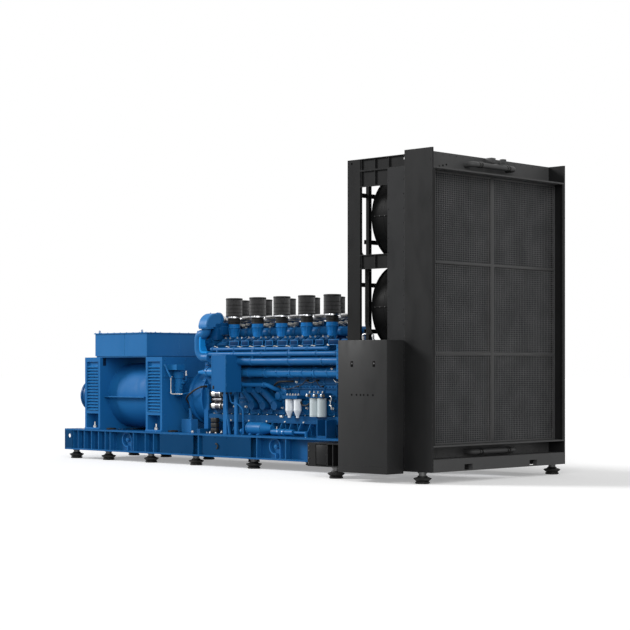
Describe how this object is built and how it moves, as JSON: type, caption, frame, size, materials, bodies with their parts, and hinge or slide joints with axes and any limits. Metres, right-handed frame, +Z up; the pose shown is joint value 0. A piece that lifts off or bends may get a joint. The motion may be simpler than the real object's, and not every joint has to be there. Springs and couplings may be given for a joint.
{
  "type": "generator set",
  "caption": "Diesel generator set on a steel base frame: alternator, long V engine with air filters along its top, and a tall radiator with electric fans in an open frame.",
  "frame": {"origin": "middle of the footprint's bounding box, on the floor under the feet", "axes": "+X along the set from the alternator to the radiator, +Y from the cabinet's side to the far side, +Z up"},
  "size_m": [8.845, 3.3019, 4.355],
  "materials": {
    "blue_paint": "semi-gloss blue paint",
    "black_paint": "satin black powder coat",
    "grey_coating": "dull dark grey coating",
    "rubber": "matte black rubber",
    "bright_metal": "bright metal",
    "white_paint": "white paint"
  },
  "bodies": {
    "root": {"base_rails": "blue_paint", "base_cross_members": "blue_paint", "base_deck_plates": "blue_paint", "base_cover_plates": "blue_paint", "lifting_lugs": "blue_paint", "foot_rubbers": "rubber", "foot_studs": "grey_coating", "radiator_base_sides": "black_paint", "radiator_base_front": "black_paint", "radiator_base_cross_beams": "black_paint", "alternator_housings": "blue_paint", "alternator_louvres": "blue_paint", "alternator_stator": "blue_paint", "terminal_box": "blue_paint", "exciter": "blue_paint", "flywheel_housing": "blue_paint", "crankcase": "blue_paint", "oil_pan": "blue_paint", "engine_feet": "blue_paint", "crankcase_covers": "blue_paint", "cylinder_heads": "blue_paint", "rocker_covers": "blue_paint", "gear_case": "blue_paint", "crank_damper": "black_paint", "charge_air_cooler": "blue_paint", "air_filters": "black_paint", "filter_clamps": "bright_metal", "intake_trunks": "blue_paint", "exhaust_manifolds": "blue_paint", "exhaust_duct": "blue_paint", "exhaust_pipe": "bright_metal", "charge_air_pipes": "blue_paint", "coolant_manifolds": "blue_paint", "coolant_risers": "blue_paint", "filter_heads": "blue_paint", "fuel_filters": "white_paint", "oil_filters": "white_paint", "starter_motors": "bright_metal", "coolant_preheater": "blue_paint", "oil_lines": "blue_paint", "control_box": "blue_paint", "control_box_stand": "blue_paint", "breather_unit": "blue_paint", "sensor_box": "blue_paint", "sensor_cable": "rubber", "fan_frame_posts": "black_paint", "fan_support_bars": "black_paint", "fan_uprights": "black_paint", "fan_frame_beams": "black_paint", "fan_shrouds": "black_paint", "fan_rotors": "grey_coating", "fan_motors": "black_paint", "plenum_side_panels": "black_paint", "plenum_covers": "black_paint", "radiator_core": "grey_coating", "radiator_sides": "black_paint", "radiator_tanks": "black_paint", "core_face_bars": "grey_coating", "balance_pipes": "black_paint", "electrical_cabinet": "black_paint"}
  },
  "joints": []
}
